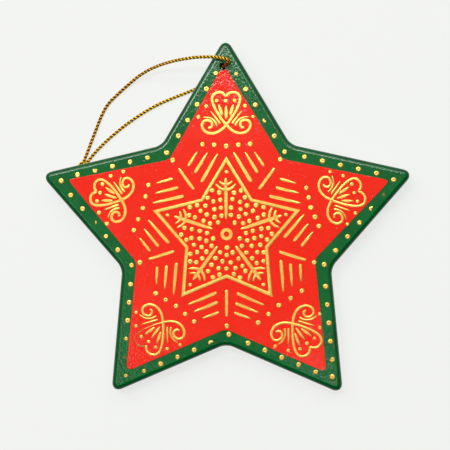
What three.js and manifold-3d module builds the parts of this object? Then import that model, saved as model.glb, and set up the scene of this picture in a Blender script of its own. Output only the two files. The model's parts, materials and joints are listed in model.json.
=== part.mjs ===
// A flat wooden star ornament with raised gold decoration and a gold hanging cord.
// Millimetres, +Z up. The star lies face up on a table with its top point towards +Y.
// The origin is on the table, under the middle of the board's outline.
import * as THREE from "three";
import { mergeVertices } from "three/addons/utils/BufferGeometryUtils.js";
import Module from "manifold-3d";

// Board: corners of the outline are given before they are rounded
const POINTS = 5;
const TIP_RADIUS = 54.2;
const NOTCH_RADIUS = 30.2;
const TIP_ROUND = 1.8;
const NOTCH_ROUND = 4;
const BOARD_THICKNESS = 6;
const EDGE_ROUND = 1.4;
const EDGE_STEPS = 3;
const ARC_STEPS = 3;

// Hole for the cord, measured from the star's centre
const HOLE_X = -0.65;
const HOLE_Y = 45.85;
const HOLE_RADIUS = 0.85;
const HOLE_LIP = 0.5;
const HOLE_SIDES = 16;
const LIP_STEPS = 3;
const CUT_MARGIN = 1;

// Paint: each coat keeps a hair's gap to what it lies on
const COAT_GAP = 0.05;
const RED_THICKNESS = 0.15;
const GOLD_THICKNESS = 0.3;
const RED_TIPS = [[-0.4, 46.4], [-43.6, 15.1], [-27.5, -37.7], [27.4, -37.8], [44.8, 14.4]];
const RED_NOTCHES = [[-15.5, 20.4], [-24.6, -7.7], [-0.1, -26], [24.3, -6.9], [15.5, 20.4]];
const RED_TIP_CUT = 1.2;
const RED_NOTCH_CUT = 2.2;

// Gold lines, all measured from the star's centre with an arm pointing to +Y
const RING_OUTER_RADIUS = 1.7;
const RING_INNER_RADIUS = 0.72;
const RING_STEPS = 10;
const LINE_STAR_TIP_RADIUS = 21.2;
const LINE_STAR_NOTCH_RADIUS = 11.9;
const LINE_STAR_WIDTH = 0.8;
const LINE_STAR_TIP_ROUND = 0.3;
const LINE_STAR_NOTCH_ROUND = 0.5;
const LINE_STAR_ARC_STEPS = 1;
const FLAKE_STEM = [4.1, 15.6];
const FLAKE_STEM_WIDTHS = [0.15, 0.5, 0.85, 0.8, 0.7, 0.6, 0.5, 0.2];
const FLAKE_BRANCHES = [
  { foot: [0, 12.1], bend: [1.7, 12.4], end: [2.85, 13.85] },
  { foot: [0, 13.6], bend: [1.1, 13.8], end: [1.85, 14.65] },
];
const FLAKE_BRANCH_WIDTHS = [0.6, 0.6, 0.55, 0.5, 0.2];
const EDGE_RAYS = [
  { inner: [6.67, 14.43], outer: [2.25, 21.9] },
  { inner: [8.48, 16.6], outer: [4.92, 22.3] },
  { inner: [10.33, 18.5], outer: [7.66, 22.55] },
];
const RAY_DRIFTS = [
  { right: 0, left: 0.2 },
  { right: 0, left: -0.5 },
  { right: 0.7, left: 1.1 },
  { right: 0, left: 1 },
  { right: -0.3, left: 0.7 },
];
const NOTCH_RAY = [15.1, 22.6];
const RAY_WIDTHS = [0.3, 0.72, 0.85, 0.75, 0.55, 0.2];
const HEART_HALF = [
  [0, 37.8],
  [0.75, 38.75],
  [2.1, 39.1],
  [3.5, 38.4],
  [3.85, 37.2],
  [3.1, 34.8],
  [1.6, 32.3],
  [0, 30.2],
  [-1.9, 28.5],
  [-3.95, 27.9],
  [-5.9, 28.6],
  [-6.65, 30.1],
  [-6.2, 31.2],
  [-5.2, 31.5],
  [-4.1, 31.1],
  [-3.8, 30.3],
  [-4.2, 29.5],
  [-5, 29.4],
];
const HEART_WIDTHS = [0.64, 0.64, 0.64, 0.64, 0.64, 0.6, 0.4];
const HEART_STEPS = 34;

// Cord: a thin twisted cord threaded through the hole, its two ends tied in one knot.
// Each strand runs from the middle of the hole to the knot, as [x from the star's centre,
// y from the star's centre, height above the table].
const CORD_DIAMETER = 1;
const CORD_SIDES = 8;
const STRAND_STEP = 1.4;
const FRONT_STRAND = [
  [-0.65, 45.77, 5.15],
  [-0.64, 45.73, 6.6],
  [-0.36, 45.78, 8.05],
  [0.31, 46.21, 9],
  [0.84, 46.64, 9.8],
  [1.13, 46.9, 10.4],
  [1.02, 47.09, 10.85],
  [0.63, 47.28, 11],
  [-0.01, 47.52, 10.9],
  [-0.95, 47.77, 10.45],
  [-2.11, 48, 9.95],
  [-3.8, 48.17, 9.4],
  [-5.9, 48.26, 8.9],
  [-8.66, 48.2, 8.35],
  [-11.09, 47.97, 7.75],
  [-13.57, 47.7, 6.85],
  [-16.03, 47.29, 5.75],
  [-18.46, 46.76, 4.5],
  [-21.75, 45.67, 2.85],
  [-24.9, 44, 1.55],
  [-28.12, 41.53, 0.8],
  [-31.18, 38.83, 0.56],
  [-33.11, 36.91, 0.52],
  [-34.27, 35.28, 0.52],
  [-35.21, 33.46, 0.52],
  [-35.97, 31.69, 0.52],
  [-37.02, 28.96, 0.52],
  [-38.18, 26.01, 0.52],
  [-39.31, 23, 0.52],
  [-40.15, 20.88, 0.6],
];
const BACK_STRAND = [
  [-0.65, 45.78, 4.85],
  [-0.65, 45.81, 3.6],
  [-0.72, 45.79, 2.6],
  [-1.1, 45.55, 1.45],
  [-1.85, 45.02, 0.75],
  [-3, 44.2, 0.56],
  [-5.4, 42.5, 0.52],
  [-7.25, 41.3, 0.52],
  [-9.08, 40.41, 0.52],
  [-11.5, 39.45, 0.52],
  [-13.98, 38.49, 0.52],
  [-16.43, 37.53, 0.52],
  [-19.05, 36.4, 0.52],
  [-21.9, 34.92, 0.52],
  [-25.04, 32.98, 0.52],
  [-28.06, 30.93, 0.52],
  [-31.09, 28.57, 0.52],
  [-34.15, 25.92, 0.52],
  [-37.09, 22.96, 0.52],
  [-38.97, 20.64, 0.66],
];
const KNOT_CENTRE = [-40.7, 19.7, 0.87];
const KNOT_LENGTH = 2.8;
const KNOT_THICKNESS = 1.7;
const KNOT_TURN_DEG = 12.8;
const KNOT_SIDES = 12;

// The bend of cord behind the hole props the top arm up by this much
const ARM_LIFT = 2;

// Finishes
const GREEN = new THREE.MeshStandardMaterial({ color: 0x1f6f3c, roughness: 0.35 });
const RED = new THREE.MeshStandardMaterial({ color: 0xf03a2e, roughness: 0.4 });
const GOLD = new THREE.MeshStandardMaterial({ color: 0xe8c053, roughness: 0.4, metalness: 0.5 });
const CORD_GOLD = new THREE.MeshStandardMaterial({ color: 0xb58a3c, roughness: 0.45, metalness: 0.4 });

const SECTOR = (2 * Math.PI) / POINTS;
const UP = Math.PI / 2;

const wasm = await Module();
wasm.setup();

// A closed geometry as a solid that can be joined and cut.
function solidOf(geometry) {
  const bare = geometry.clone();
  bare.deleteAttribute("normal");
  bare.deleteAttribute("uv");
  const merged = mergeVertices(bare);
  const vertProperties = merged.getAttribute("position").array;
  const triVerts = new Uint32Array(merged.index.array);
  return new wasm.Manifold(new wasm.Mesh({ numProp: 3, vertProperties, triVerts }));
}

// A solid's surface as a geometry.
function geometryOf(solid) {
  const { vertProperties, triVerts } = solid.getMesh();
  const geometry = new THREE.BufferGeometry();
  geometry.setAttribute("position", new THREE.BufferAttribute(vertProperties, 3));
  geometry.setIndex(new THREE.BufferAttribute(triVerts, 1));
  geometry.computeVertexNormals();
  return geometry;
}

// Several overlapping closed geometries as one.
function joined(geometries) {
  return geometryOf(geometries.map(solidOf).reduce((all, next) => all.add(next)));
}

// Half the angle between the two edges of a star's point.
function halfTipAngle(tipRadius, notchRadius) {
  const across = notchRadius * Math.sin(SECTOR / 2);
  const along = tipRadius - notchRadius * Math.cos(SECTOR / 2);
  return Math.atan2(across, along);
}

// A star with rounded points and rounded notches, one point towards +Y.
function starPath(path, { tipRadius, notchRadius, tipRound, notchRound }) {
  const half = halfTipAngle(tipRadius, notchRadius);
  const tipSweep = UP - half;
  const notchSweep = tipSweep - SECTOR / 2;
  const tipCentre = tipRadius - tipRound / Math.sin(half);
  const notchCentre = notchRadius + notchRound / Math.cos(notchSweep);
  for (let k = 0; k < POINTS; k++) {
    const tip = UP + k * SECTOR;
    const notch = tip + SECTOR / 2;
    const tipX = tipCentre * Math.cos(tip);
    const tipY = tipCentre * Math.sin(tip);
    path.absarc(tipX, tipY, tipRound, tip - tipSweep, tip + tipSweep, false);
    const inward = notch + Math.PI;
    const notchX = notchCentre * Math.cos(notch);
    const notchY = notchCentre * Math.sin(notch);
    path.absarc(notchX, notchY, notchRound, inward + notchSweep, inward - notchSweep, true);
  }
  path.closePath();
  return path;
}

// A closed outline through corners, each cut back along both its sides and rounded.
function roundedOutline(corners) {
  const shape = new THREE.Shape();
  corners.forEach(({ place, cut }, i) => {
    const before = corners.at(i - 1).place;
    const after = corners[(i + 1) % corners.length].place;
    const start = place.clone().add(before.clone().sub(place).setLength(cut));
    const end = place.clone().add(after.clone().sub(place).setLength(cut));
    if (i === 0) shape.moveTo(start.x, start.y);
    else shape.lineTo(start.x, start.y);
    shape.quadraticCurveTo(place.x, place.y, end.x, end.y);
  });
  shape.closePath();
  return shape;
}

// A flat stroke along a plane curve, with its widths spread evenly along it.
function strokeShape(curve, widths, steps) {
  const left = [];
  const right = [];
  for (let i = 0; i <= steps; i++) {
    const t = i / steps;
    const place = t * (widths.length - 1);
    const before = Math.min(Math.floor(place), widths.length - 2);
    const half = THREE.MathUtils.lerp(widths[before], widths[before + 1], place - before) / 2;
    const point = curve.getPointAt(t);
    const along = curve.getTangentAt(t);
    const across = new THREE.Vector2(-along.y, along.x).multiplyScalar(half);
    left.push(point.clone().add(across));
    right.push(point.clone().sub(across));
  }
  return new THREE.Shape([...right, ...left.reverse()]);
}

// A flat shape raised to a thickness.
function raised(shape, thickness, curveSegments = ARC_STEPS) {
  return new THREE.ExtrudeGeometry(shape, { depth: thickness, bevelEnabled: false, curveSegments });
}

// A stroke of gold paint.
function goldStroke(curve, widths, steps = widths.length - 1) {
  return raised(strokeShape(curve, widths, steps), GOLD_THICKNESS);
}

// A straight line between two points of the plane.
function lineBetween(from, to) {
  return new THREE.LineCurve(new THREE.Vector2(...from), new THREE.Vector2(...to));
}

// A point on the other side of the arm's middle line.
function mirrored([x, y]) {
  return [-x, y];
}

// The cutter for the drilled hole, whose two mouths are worn round.
function holeCutter() {
  const mouth = HOLE_RADIUS + HOLE_LIP;
  const lower = [];
  for (let i = 0; i <= LIP_STEPS; i++) {
    const turn = (UP * i) / LIP_STEPS;
    lower.push([mouth - HOLE_LIP * Math.sin(turn), HOLE_LIP - HOLE_LIP * Math.cos(turn)]);
  }
  const upper = lower.map(([r, z]) => [r, BOARD_THICKNESS - z]).reverse();
  const ceiling = BOARD_THICKNESS + CUT_MARGIN;
  const below = [[0, -CUT_MARGIN], [mouth, -CUT_MARGIN]];
  const above = [[mouth, ceiling], [0, ceiling]];
  const profile = [...below, ...lower, ...upper, ...above].map(([r, z]) => new THREE.Vector2(r, z));
  return new THREE.LatheGeometry(profile, HOLE_SIDES).rotateX(UP).translate(HOLE_X, HOLE_Y, 0);
}

// The board: a sawn star with its edges rounded on both faces and one hole.
function boardGeometry() {
  const outline = starPath(new THREE.Shape(), {
    tipRadius: TIP_RADIUS,
    notchRadius: NOTCH_RADIUS,
    tipRound: TIP_ROUND,
    notchRound: NOTCH_ROUND,
  });
  const sawn = new THREE.ExtrudeGeometry(outline, {
    depth: BOARD_THICKNESS - 2 * EDGE_ROUND,
    bevelThickness: EDGE_ROUND,
    bevelSize: EDGE_ROUND,
    bevelOffset: -EDGE_ROUND,
    bevelSegments: EDGE_STEPS,
    curveSegments: ARC_STEPS,
  }).translate(0, 0, EDGE_ROUND);
  return geometryOf(solidOf(sawn).subtract(solidOf(holeCutter())));
}

// The red coat inside the green border, with the mouth of the hole left free.
function redFieldGeometry() {
  const corners = RED_TIPS.flatMap((tip, k) => [
    { place: new THREE.Vector2(...tip), cut: RED_TIP_CUT },
    { place: new THREE.Vector2(...RED_NOTCHES[k]), cut: RED_NOTCH_CUT },
  ]);
  const field = solidOf(raised(roundedOutline(corners), RED_THICKNESS));
  const mouth = HOLE_RADIUS + HOLE_LIP + COAT_GAP;
  const hole = new THREE.CylinderGeometry(mouth, mouth, 2 * CUT_MARGIN, HOLE_SIDES).rotateX(UP);
  return geometryOf(field.subtract(solidOf(hole.translate(HOLE_X, HOLE_Y, 0))));
}

// The ring at the star's centre.
function ringGeometry() {
  const ring = new THREE.Shape().absarc(0, 0, RING_OUTER_RADIUS, 0, 2 * Math.PI, false);
  ring.holes.push(new THREE.Path().absarc(0, 0, RING_INNER_RADIUS, 0, 2 * Math.PI, true));
  return raised(ring, GOLD_THICKNESS, RING_STEPS);
}

// The gold line that draws a smaller star round the snowflake.
function lineStarGeometry() {
  const half = halfTipAngle(LINE_STAR_TIP_RADIUS, LINE_STAR_NOTCH_RADIUS);
  const outer = starPath(new THREE.Shape(), {
    tipRadius: LINE_STAR_TIP_RADIUS,
    notchRadius: LINE_STAR_NOTCH_RADIUS,
    tipRound: LINE_STAR_TIP_ROUND,
    notchRound: LINE_STAR_NOTCH_ROUND,
  });
  const inner = starPath(new THREE.Path(), {
    tipRadius: LINE_STAR_TIP_RADIUS - LINE_STAR_WIDTH / Math.sin(half),
    notchRadius: LINE_STAR_NOTCH_RADIUS - LINE_STAR_WIDTH / Math.sin(half + SECTOR / 2),
    tipRound: LINE_STAR_TIP_ROUND,
    notchRound: LINE_STAR_NOTCH_ROUND,
  });
  outer.holes.push(inner);
  return raised(outer, GOLD_THICKNESS, LINE_STAR_ARC_STEPS);
}

// One arm of the snowflake: a stem with two pairs of curved branches.
function flakeArmGeometry() {
  const [foot, head] = FLAKE_STEM;
  const strokes = [goldStroke(lineBetween([0, foot], [0, head]), FLAKE_STEM_WIDTHS)];
  for (const { foot: from, bend, end } of FLAKE_BRANCHES) {
    for (const side of [(point) => point, mirrored]) {
      const corners = [from, bend, end].map((point) => new THREE.Vector2(...side(point)));
      strokes.push(goldStroke(new THREE.QuadraticBezierCurve(...corners), FLAKE_BRANCH_WIDTHS));
    }
  }
  return joined(strokes);
}

// The heart in one arm, whose two lines cross and end in scrolls.
function heartGeometry() {
  const halves = [HEART_HALF, HEART_HALF.map(mirrored)];
  const strokes = halves.map((half) => {
    const curve = new THREE.SplineCurve(half.map((point) => new THREE.Vector2(...point)));
    return goldStroke(curve, HEART_WIDTHS, HEART_STEPS);
  });
  return joined(strokes);
}

// One strand of the cord along its route.
function strandGeometry(route) {
  const section = new THREE.Shape().absarc(0, 0, CORD_DIAMETER / 2, 0, 2 * Math.PI, false);
  const extrudePath = new THREE.CatmullRomCurve3(route.map((point) => new THREE.Vector3(...point)));
  const steps = Math.round(extrudePath.getLength() / STRAND_STEP);
  return new THREE.ExtrudeGeometry(section, { steps, extrudePath, curveSegments: CORD_SIDES / 2 });
}

// The knot that ties the two ends, as the lump it makes.
function knotGeometry() {
  const lump = new THREE.SphereGeometry(KNOT_THICKNESS / 2, KNOT_SIDES, KNOT_SIDES / 2);
  return lump.rotateX(UP).scale(KNOT_LENGTH / KNOT_THICKNESS, 1, 1);
}

// A named sub-part.
function part(name, geometry, material) {
  const mesh = new THREE.Mesh(geometry, material);
  mesh.name = name;
  return mesh;
}

// One of the rays beside the line star, moved sideways by its bunch's drift.
function edgeRayGeometry({ inner, outer }, drift, onRight) {
  const ends = [inner, outer].map(([x, y]) => [x + drift, y]);
  const [from, to] = onRight ? ends : ends.map(mirrored);
  return goldStroke(lineBetween(from, to), RAY_WIDTHS);
}

// The single ray that points out of a notch of the line star.
function notchRayGeometry() {
  const [inner, outer] = NOTCH_RAY;
  return goldStroke(lineBetween([0, inner], [0, outer]), RAY_WIDTHS);
}

// The gold strokes of one arm, pointing to +Y, with the rays up to the next notch.
function goldArm(label, drifts) {
  const arm = new THREE.Group();
  arm.add(part(`snowflake_arm_${label}`, flakeArmGeometry(), GOLD));
  arm.add(part(`heart_scroll_${label}`, heartGeometry(), GOLD));
  EDGE_RAYS.forEach((ray, i) => {
    arm.add(part(`ray_${label}_right_${i + 1}`, edgeRayGeometry(ray, drifts.right, true), GOLD));
    arm.add(part(`ray_${label}_left_${i + 1}`, edgeRayGeometry(ray, drifts.left, false), GOLD));
  });
  const notchRay = part(`ray_${label}_notch`, notchRayGeometry(), GOLD);
  notchRay.rotation.z = -SECTOR / 2;
  arm.add(notchRay);
  return arm;
}

// The painted board with its back on the plane z = 0 and the star's centre on the Z axis.
function paintedBoard() {
  const redField = part("red_field", redFieldGeometry(), RED);
  redField.position.z = BOARD_THICKNESS + COAT_GAP;

  const gold = new THREE.Group();
  gold.position.z = redField.position.z + RED_THICKNESS + COAT_GAP;
  gold.add(part("centre_ring", ringGeometry(), GOLD), part("line_star", lineStarGeometry(), GOLD));
  RAY_DRIFTS.forEach((drifts, k) => {
    const arm = goldArm(k + 1, drifts);
    arm.rotation.z = -k * SECTOR;
    gold.add(arm);
  });

  const group = new THREE.Group();
  group.add(part("star_board", boardGeometry(), GREEN), redField, gold);
  return group;
}

// The outline's reach along Y, from which the origin and the resting tilt follow.
function outlineReach() {
  const half = halfTipAngle(TIP_RADIUS, NOTCH_RADIUS);
  const tipCentre = TIP_RADIUS - TIP_ROUND / Math.sin(half);
  const lowerTip = UP - 2 * SECTOR;
  return { top: tipCentre + TIP_ROUND, bottom: tipCentre * Math.sin(lowerTip) - TIP_ROUND };
}

// The ornament as it lies: the board rests on its two lower points and on the bend of
// cord behind its hole, so it leans a little.
function ornament() {
  const { top, bottom } = outlineReach();
  const centreY = -(top + bottom) / 2;
  const restingEdge = -(bottom + EDGE_ROUND);
  const lean = Math.asin(ARM_LIFT / (HOLE_Y + restingEdge));

  const board = paintedBoard();
  board.rotation.x = lean;
  board.position.set(0, centreY, restingEdge * Math.sin(lean));

  const loop = new THREE.Group();
  loop.position.y = centreY;
  const knot = part("cord_knot", knotGeometry(), CORD_GOLD);
  knot.position.set(...KNOT_CENTRE);
  knot.rotation.z = THREE.MathUtils.degToRad(KNOT_TURN_DEG);
  loop.add(part("cord_front_strand", strandGeometry(FRONT_STRAND), CORD_GOLD));
  loop.add(part("cord_back_strand", strandGeometry(BACK_STRAND), CORD_GOLD), knot);

  const whole = new THREE.Group();
  whole.add(board, loop);
  return whole;
}

export default ornament();
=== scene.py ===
"""Looks of a flat wooden star ornament: enamelled board, raised gold paint and a gold hanging cord.

Pieces are modelled in millimetres in the board's own frame: its back on z = 0, its face up, the star's
centre on the Z axis and its top point towards +Y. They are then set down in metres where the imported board
lies. The cord is modelled where it lies on the table, with heights above the table.
"""

import json
import logging
import math
import random
from bisect import bisect_left
from collections.abc import Callable, Iterator, Sequence
from contextlib import contextmanager
from dataclasses import dataclass, field
from enum import Enum

import bmesh
import bpy
from bpy.types import Material, NodeSocket, NodeTree, Object, ShaderNode
from mathutils import Matrix, Vector
from mathutils.kdtree import KDTree

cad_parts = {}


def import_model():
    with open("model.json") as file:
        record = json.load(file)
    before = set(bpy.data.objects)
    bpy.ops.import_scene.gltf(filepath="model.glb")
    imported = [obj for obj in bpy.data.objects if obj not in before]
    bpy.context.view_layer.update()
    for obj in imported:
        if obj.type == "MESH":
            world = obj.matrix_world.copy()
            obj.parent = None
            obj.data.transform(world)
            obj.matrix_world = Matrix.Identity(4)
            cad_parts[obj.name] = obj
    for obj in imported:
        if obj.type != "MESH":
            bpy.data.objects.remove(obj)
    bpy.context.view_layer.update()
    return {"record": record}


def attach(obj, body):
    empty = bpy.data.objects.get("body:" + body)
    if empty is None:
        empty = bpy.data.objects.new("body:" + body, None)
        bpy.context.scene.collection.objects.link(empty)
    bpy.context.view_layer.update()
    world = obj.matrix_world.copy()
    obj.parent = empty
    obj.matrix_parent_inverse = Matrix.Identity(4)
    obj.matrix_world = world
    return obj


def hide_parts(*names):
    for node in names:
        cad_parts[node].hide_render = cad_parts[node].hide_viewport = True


Point = tuple[float, float]
Place = tuple[float, float, float]
Colour = NodeSocket | str

MM = 0.001
ORIGIN = (0, 0, 0)
ARMS = 5
SECTOR = 2 * math.pi / ARMS
STAR_CENTRE_Y = -4.84
FACE_LEVEL = 6.0
RED_THICKNESS = 0.2
SUNK = 0.02
GOLD_LEVEL = FACE_LEVEL + RED_THICKNESS - SUNK
ON_RED = Matrix.Translation((0, 0, GOLD_LEVEL))
PATTERN_SHIFT = Matrix.Translation((0.24, -0.07, 0))
SAME_PLACE = 1e-4
SMOOTH_ANGLE = math.radians(50)
FLATS_WEIGHT = 100

log = logging.getLogger("star_ornament")


class Slot(Enum):
    """The record's material slots."""

    GREEN = "green_enamel"
    RED = "red_enamel"
    GOLD = "gold_paint"
    CORD = "gold_cord"


class Body(Enum):
    """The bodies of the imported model."""

    BOARD = "board"
    LOOP = "loop"


class MeshPart(Enum):
    """What edit mode selects."""

    VERTEX = "VERT"
    EDGE = "EDGE"
    FACE = "FACE"


class Side(Enum):
    """The two sides of an arm, seen with its point up."""

    RIGHT = 1
    LEFT = -1


def linear(hex_colour: str) -> tuple[float, float, float, float]:
    """Turns an sRGB hex value into a linear colour.

    Args:
        hex_colour: A value such as "#1f6f3c".

    Returns:
        Red, green, blue and alpha.
    """
    channels = [int(hex_colour[i : i + 2], 16) / 255 for i in (1, 3, 5)]
    red, green, blue = [c / 12.92 if c <= 0.04045 else ((c + 0.055) / 1.055) ** 2.4 for c in channels]
    return red, green, blue, 1.0


def feed(tree: NodeTree, node: ShaderNode, inputs: dict) -> None:
    """Sets a node's inputs.

    Args:
        tree: The node tree.
        node: The node.
        inputs: From an input's name or number to a value, an sRGB hex colour, or the output that feeds it.
    """
    for key, value in inputs.items():
        if isinstance(value, NodeSocket):
            tree.links.new(value, node.inputs[key])
        else:
            node.inputs[key].default_value = linear(value) if isinstance(value, str) else value


def add_node(tree: NodeTree, kind: str, inputs: dict | None = None, **settings: object) -> ShaderNode:
    """Adds a shader node with its settings, values and links.

    Args:
        tree: The node tree.
        kind: The node's type.
        inputs: What its inputs are fed.
        **settings: The node's own properties.

    Returns:
        The node.
    """
    node = tree.nodes.new(kind)
    for name, value in settings.items():
        setattr(node, name, value)
    feed(tree, node, inputs or {})
    return node


def add_place(tree: NodeTree) -> NodeSocket:
    """Adds the piece's own coordinates, in metres."""
    return add_node(tree, "ShaderNodeTexCoord").outputs["Object"]


def add_noted(tree: NodeTree, name: str) -> NodeSocket:
    """Adds a value that is noted at the vertices."""
    return add_node(tree, "ShaderNodeAttribute", attribute_name=name).outputs["Fac"]


def add_noise(tree: NodeTree, place: NodeSocket, size_mm: float, detail: float) -> NodeSocket:
    """Adds a noise pattern over a place, with features of one size and a number of finer layers."""
    values = {"Vector": place, "Scale": 1 / (size_mm * MM), "Detail": detail}
    return add_node(tree, "ShaderNodeTexNoise", values).outputs[0]


def add_range(tree: NodeTree, value: NodeSocket, span: Point, to: Point = (0.0, 1.0)) -> NodeSocket:
    """Adds a straight step from one span of values to another, held at both ends."""
    ends = {"From Min": span[0], "From Max": span[1], "To Min": to[0], "To Max": to[1]}
    return add_node(tree, "ShaderNodeMapRange", {"Value": value, **ends}).outputs[0]


def add_mix(tree: NodeTree, share: NodeSocket, first: Colour, second: Colour) -> NodeSocket:
    """Adds a mix of two colours, with a share of the second one."""
    return add_node(tree, "ShaderNodeMix", {0: share, 6: first, 7: second}, data_type="RGBA").outputs[2]


def add_math(tree: NodeTree, operation: str, *values: NodeSocket | float, clamp: bool = False) -> NodeSocket:
    """Adds one step of arithmetic, held between 0 and 1 where that is asked for."""
    inputs = dict(enumerate(values))
    return add_node(tree, "ShaderNodeMath", inputs, operation=operation, use_clamp=clamp).outputs[0]


def add_bump(tree: NodeTree, height: NodeSocket, relief_mm: float) -> NodeSocket:
    """Adds fine relief of one height."""
    values = {"Strength": 1.0, "Distance": relief_mm * MM, "Height": height}
    return add_node(tree, "ShaderNodeBump", values).outputs[0]


def new_material(name: str) -> tuple[Material, NodeTree, ShaderNode]:
    """Makes a material with an unlinked principled shader.

    Args:
        name: The material's name.

    Returns:
        The material, its tree and its shader.
    """
    material = bpy.data.materials.new(name)
    material.use_nodes = True
    return material, material.node_tree, material.node_tree.nodes["Principled BSDF"]


def select_only(*pieces: Object) -> None:
    """Leaves only these pieces selected, with the first one active.

    Args:
        *pieces: The pieces.
    """
    bpy.ops.object.select_all(action="DESELECT")
    for piece in pieces:
        piece.select_set(True)
    bpy.context.view_layer.objects.active = pieces[0]


@contextmanager
def edit_mode(piece: Object, part: MeshPart) -> Iterator[None]:
    """Opens a piece in edit mode with nothing selected.

    Args:
        piece: The mesh to edit.
        part: What is selected in it.
    """
    select_only(piece)
    bpy.ops.object.mode_set(mode="EDIT")
    bpy.ops.mesh.select_mode(type=part.value)
    bpy.ops.mesh.select_all(action="DESELECT")
    yield
    bpy.ops.object.mode_set(mode="OBJECT")


def choose_vertices(piece: Object, test: Callable[[Vector], bool]) -> None:
    """Selects vertices of a piece in edit mode.

    Args:
        piece: The piece.
        test: Tells from a vertex's place whether it is chosen.
    """
    bpy.ops.mesh.select_all(action="DESELECT")
    mesh = bmesh.from_edit_mesh(piece.data)
    for vertex in mesh.verts:
        if test(vertex.co):
            vertex.select_set(True)
    mesh.select_flush_mode()
    bmesh.update_edit_mesh(piece.data)


def choose_edges(piece: Object, test: Callable[[Vector, Vector], bool]) -> None:
    """Selects edges of a piece in edit mode.

    Args:
        piece: The piece.
        test: Tells from the places of an edge's two ends whether it is chosen.
    """
    bpy.ops.mesh.select_all(action="DESELECT")
    mesh = bmesh.from_edit_mesh(piece.data)
    for edge in mesh.edges:
        if test(edge.verts[0].co, edge.verts[1].co):
            edge.select_set(True)
    bmesh.update_edit_mesh(piece.data)


def round_corners(piece: Object, test: Callable[[Vector], bool], cut: float, steps: int) -> None:
    """Rounds corners of a flat piece in edit mode, in a number of steps from a cut on either side of each."""
    choose_vertices(piece, test)
    bpy.ops.mesh.bevel(offset=cut, segments=steps, affect="VERTICES")


def round_edges(piece: Object, test: Callable[[Vector, Vector], bool], cut: float, steps: int) -> None:
    """Rounds edges of a piece.

    Args:
        piece: The piece.
        test: Tells from the places of an edge's two ends whether it is rounded.
        cut: How far the round reaches on either side of the edge.
        steps: How many steps it has.
    """
    with edit_mode(piece, MeshPart.EDGE):
        choose_edges(piece, test)
        bpy.ops.mesh.bevel(offset=cut, segments=steps, affect="EDGES")


def face_outwards(piece: Object) -> None:
    """Turns all faces of a piece outwards.

    Args:
        piece: The piece.
    """
    with edit_mode(piece, MeshPart.FACE):
        bpy.ops.mesh.select_all(action="SELECT")
        bpy.ops.mesh.normals_make_consistent(inside=False)


def raise_solid(piece: Object, height: float) -> None:
    """Raises a flat piece into a solid.

    Args:
        piece: The piece, on z = 0.
        height: The solid's height.
    """
    with edit_mode(piece, MeshPart.FACE):
        bpy.ops.mesh.select_all(action="SELECT")
        bpy.ops.mesh.extrude_region_move(TRANSFORM_OT_translate={"value": (0, 0, height)})
    face_outwards(piece)


def set_down(piece: Object, place: Matrix) -> None:
    """Puts a piece in a place, and moves the place into its mesh.

    Args:
        piece: The piece.
        place: Where it goes.
    """
    piece.matrix_world = place
    select_only(piece)
    bpy.ops.object.transform_apply(location=True, rotation=True, scale=True)


def joined(pieces: Sequence[Object], name: str) -> Object:
    """Joins pieces into the first one.

    Args:
        pieces: The pieces.
        name: The joined piece's name.

    Returns:
        The joined piece.
    """
    select_only(*pieces)
    if len(pieces) > 1:
        bpy.ops.object.join()
    whole = bpy.context.object
    whole.name = name
    return whole


def copied(piece: Object, name: str, place: Matrix) -> Object:
    """Copies a piece with its own mesh.

    Args:
        piece: What is copied.
        name: The copy's name.
        place: Where the copy goes.

    Returns:
        The copy, with its place in its mesh.
    """
    twin = piece.copy()
    twin.data = piece.data.copy()
    twin.name = name
    bpy.context.collection.objects.link(twin)
    set_down(twin, place)
    return twin


def scrap(*pieces: Object) -> None:
    """Deletes pieces that have done their work."""
    for piece in pieces:
        bpy.data.objects.remove(piece, do_unlink=True)


def cut_with(piece: Object, cutter: Object) -> None:
    """Cuts a piece.

    Args:
        piece: The piece.
        cutter: What is cut away, which is used up.
    """
    cut = piece.modifiers.new("cut", "BOOLEAN")
    cut.operation = "DIFFERENCE"
    cut.solver = "EXACT"
    cut.object = cutter
    select_only(piece)
    bpy.ops.object.modifier_apply(modifier=cut.name)
    scrap(cutter)


def smooth(piece: Object) -> None:
    """Shades a piece smooth, but keeps its flats flat where they meet its rounded edges.

    Args:
        piece: The piece.
    """
    select_only(piece)
    bpy.ops.object.shade_smooth_by_angle(angle=SMOOTH_ANGLE)
    flats = piece.modifiers.new("flats", "WEIGHTED_NORMAL")
    flats.keep_sharp = True
    flats.weight = FLATS_WEIGHT
    bpy.ops.object.modifier_apply(modifier=flats.name)


def set_values(piece: Object, name: str, values: Sequence[float]) -> None:
    """Notes a value at each vertex of a piece.

    Args:
        piece: The piece.
        name: The attribute's name, which may exist.
        values: One value for each vertex.
    """
    layers = piece.data.attributes
    layer = layers.get(name) or layers.new(name, "FLOAT", "POINT")
    layer.data.foreach_set("value", values)


def arm_turn(arm: int) -> float:
    """Gives the turn of an arm about Z: arm 1 is at the top and the others follow clockwise."""
    return -(arm - 1) * SECTOR


def notch_turn(arm: int) -> float:
    """Gives the turn about Z of the notch that follows an arm clockwise."""
    return arm_turn(arm) - SECTOR / 2


def is_near_tip(place: Vector) -> bool:
    """Tells whether a place of the star lies nearer to a tip's direction than to a notch's."""
    return abs(math.remainder(math.atan2(place.x, place.y), SECTOR)) < SECTOR / 4


def is_near_notch(place: Vector) -> bool:
    """Tells whether a place of the star lies nearer to a notch's direction than to a tip's."""
    return not is_near_tip(place)


def is_level(first: Vector, second: Vector) -> bool:
    """Tells whether the two ends of an edge lie at one height."""
    return abs(first.z - second.z) < SAME_PLACE


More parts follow.
